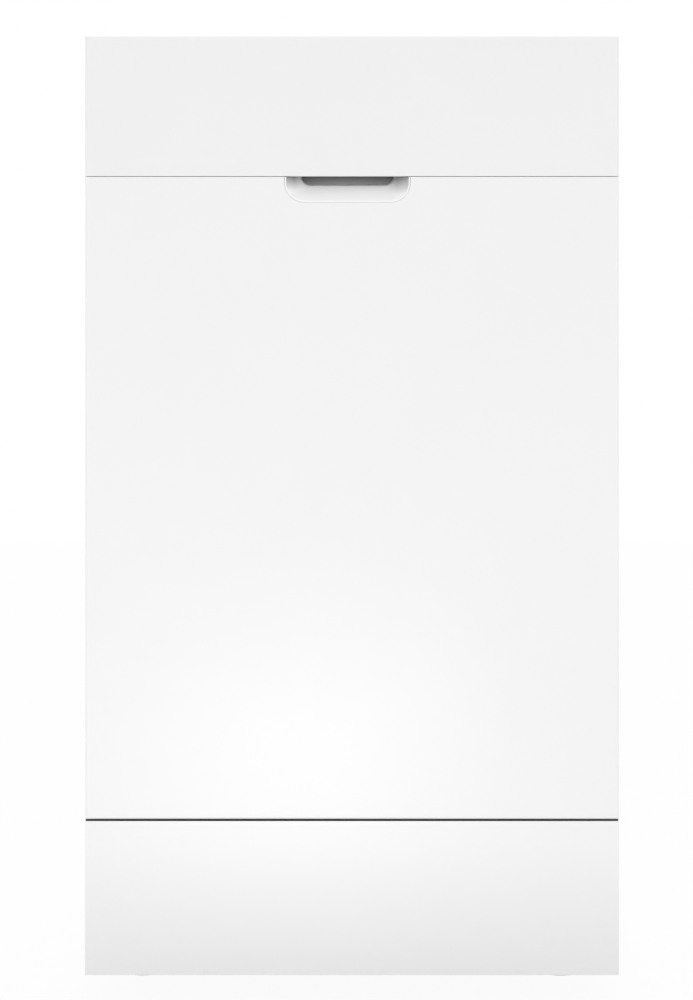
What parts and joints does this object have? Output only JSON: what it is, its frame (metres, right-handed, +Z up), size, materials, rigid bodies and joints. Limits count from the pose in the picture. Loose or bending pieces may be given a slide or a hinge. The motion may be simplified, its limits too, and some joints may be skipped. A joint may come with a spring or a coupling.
{
  "type": "dishwasher",
  "caption": "Slimline white built-under dishwasher with a plain front, a scooped door pull, a drop-down door, sliding wire racks and turning spray arms.",
  "frame": {"origin": "on the floor under the centre of the overall box", "axes": "+Z up, front faces -Y, +X to the right seen from the front"},
  "size_m": [0.448, 0.573, 0.815],
  "materials": {
    "white_enamel": "smooth satin enamel",
    "white_moulding": "smooth moulded",
    "stainless": "fine brushed",
    "zinc_sheet": "zinc plated",
    "seal_rubber": "matt",
    "grey_moulding": "fine grained",
    "base_moulding": "fine grained",
    "pale_moulding": "translucent white",
    "pump_metal": "cast",
    "rinse_blue": "satin",
    "rack_coating": "nylon coated wire",
    "dark_window": "smoked",
    "board_green": "solder mask"
  },
  "bodies": {
    "cabinet": {"base_tray": "base_moulding", "left_side_panel": "white_enamel", "right_side_panel": "white_enamel", "top_cover": "zinc_sheet", "rear_panel": "zinc_sheet", "worktop_brackets": "zinc_sheet", "tub_shell": "stainless", "tub_rear_wall": "stainless", "tub_floor": "stainless", "door_seal": "seal_rubber", "strike_plate": "zinc_sheet", "rack_rails": "stainless", "sump": "base_moulding", "fine_filter": "stainless", "circulation_pump": "pump_metal", "drain_pump": "pale_moulding", "inner_hoses": "seal_rubber", "drain_outlet": "base_moulding", "inlet_valve": "pale_moulding", "mains_inlet": "base_moulding", "water_softener": "pale_moulding", "air_break_tank": "pale_moulding", "feed_duct": "grey_moulding", "ceiling_sprayer": "grey_moulding", "spray_hub": "grey_moulding", "plinth_panel": "white_enamel", "plinth_screws": "zinc_sheet", "hinge_brackets": "zinc_sheet", "hinge_springs": "zinc_sheet"},
    "door": {"door_panel": "white_enamel", "control_fascia": "white_moulding", "handle_pocket": "white_moulding", "door_liner": "stainless", "door_screws": "zinc_sheet", "control_strip": "white_moulding", "display_window": "dark_window", "control_board": "board_green", "latch_housing": "base_moulding", "dispenser_body": "grey_moulding", "hinge_arms": "zinc_sheet"},
    "dispenser_lid": {"dispenser_lid": "grey_moulding"},
    "rinse_cap": {"rinse_cap": "rinse_blue"},
    "power_button": {"power_button": "white_moulding"},
    "program_button": {"program_button": "white_moulding"},
    "start_button": {"start_button": "white_moulding"},
    "lower_rack": {"lower_rack": "rack_coating", "cutlery_basket": "grey_moulding"},
    "folding_tines": {"folding_tines": "rack_coating"},
    "front_wheels": {"front_wheels": "grey_moulding"},
    "rear_wheels": {"rear_wheels": "grey_moulding"},
    "upper_rack": {"upper_rack": "rack_coating", "upper_manifold": "grey_moulding"},
    "upper_spray_arm": {"upper_spray_arm": "grey_moulding"},
    "lower_spray_arm": {"lower_spray_arm": "grey_moulding"},
    "filter_cup": {"filter_cup": "grey_moulding"},
    "salt_cap": {"salt_cap": "grey_moulding"},
    "pump_impeller": {"pump_impeller": "pale_moulding"},
    "foot_front_left": {"foot_front_left": "white_moulding"},
    "foot_front_right": {"foot_front_right": "white_moulding"},
    "rear_feet": {"rear_feet": "white_moulding"}
  },
  "joints": [
    {"name": "door_hinge", "type": "hinge", "parent": "cabinet", "child": "door", "pos_m": [0, -0.2485, 0.1979], "axis": [1, 0, 0], "range_deg": [0, 90], "stiffness_Nm_per_rad": 14, "deforming": ["hinge_springs"]},
    {"name": "lower_rack_slide", "type": "slide", "parent": "cabinet", "child": "lower_rack", "axis": [0, -1, 0], "range_m": [0, 0.11]},
    {"name": "upper_rack_slide", "type": "slide", "parent": "cabinet", "child": "upper_rack", "axis": [0, -1, 0], "range_m": [0, 0.35]},
    {"name": "lower_spray_spin", "type": "hinge", "parent": "cabinet", "child": "lower_spray_arm", "pos_m": [0, 0.035, 0.226], "axis": [0, 0, 1], "continuous": true},
    {"name": "upper_spray_spin", "type": "hinge", "parent": "upper_rack", "child": "upper_spray_arm", "pos_m": [0, 0.035, 0.46], "axis": [0, 0, 1], "continuous": true},
    {"name": "front_wheel_roll", "type": "hinge", "parent": "lower_rack", "child": "front_wheels", "pos_m": [0, -0.05849, 0.2319], "axis": [1, 0, 0], "continuous": true},
    {"name": "rear_wheel_roll", "type": "hinge", "parent": "lower_rack", "child": "rear_wheels", "pos_m": [0, 0.13124, 0.2319], "axis": [1, 0, 0], "continuous": true},
    {"name": "tine_fold", "type": "hinge", "parent": "lower_rack", "child": "folding_tines", "pos_m": [0, 0.06799, 0.2659], "axis": [-1, 0, 0], "range_deg": [0, 88]},
    {"name": "lid_slide", "type": "slide", "parent": "door", "child": "dispenser_lid", "axis": [0, 0, -1], "range_m": [0, 0.058]},
    {"name": "rinse_cap_turn", "type": "hinge", "parent": "door", "child": "rinse_cap", "pos_m": [0.028, -0.2295, 0.486], "axis": [0, 1, 0], "range_deg": [0, 90]},
    {"name": "power_button_press", "type": "slide", "parent": "door", "child": "power_button", "axis": [0, 0, -1], "range_m": [0, 0.0015], "stiffness_N_per_m": 600},
    {"name": "program_button_press", "type": "slide", "parent": "door", "child": "program_button", "axis": [0, 0, -1], "range_m": [0, 0.0015], "stiffness_N_per_m": 600},
    {"name": "start_button_press", "type": "slide", "parent": "door", "child": "start_button", "axis": [0, 0, -1], "range_m": [0, 0.0015], "stiffness_N_per_m": 600},
    {"name": "filter_cup_turn", "type": "hinge", "parent": "cabinet", "child": "filter_cup", "pos_m": [0.055, -0.06, 0.18], "axis": [0, 0, 1], "range_deg": [0, 90]},
    {"name": "salt_cap_turn", "type": "hinge", "parent": "cabinet", "child": "salt_cap", "pos_m": [-0.108, -0.062, 0.19], "axis": [0, 0, 1], "range_deg": [0, 180]},
    {"name": "impeller_spin", "type": "hinge", "parent": "cabinet", "child": "pump_impeller", "pos_m": [-0.02, 0.12, 0.092], "axis": [1, 0, 0], "continuous": true},
    {"name": "foot_front_left_level", "type": "slide", "parent": "cabinet", "child": "foot_front_left", "axis": [0, 0, -1], "range_m": [0, 0.06]},
    {"name": "foot_front_right_level", "type": "slide", "parent": "cabinet", "child": "foot_front_right", "axis": [0, 0, -1], "range_m": [0, 0.06]},
    {"name": "rear_feet_level", "type": "slide", "parent": "cabinet", "child": "rear_feet", "axis": [0, 0, -1], "range_m": [0, 0.06]}
  ],
  "couplings": [
    {"joint": "lower_rack_slide", "follows": "door_hinge", "m_per_rad": 0.07},
    {"joint": "upper_rack_slide", "follows": "door_hinge", "m_per_rad": 0.2228}
  ]
}
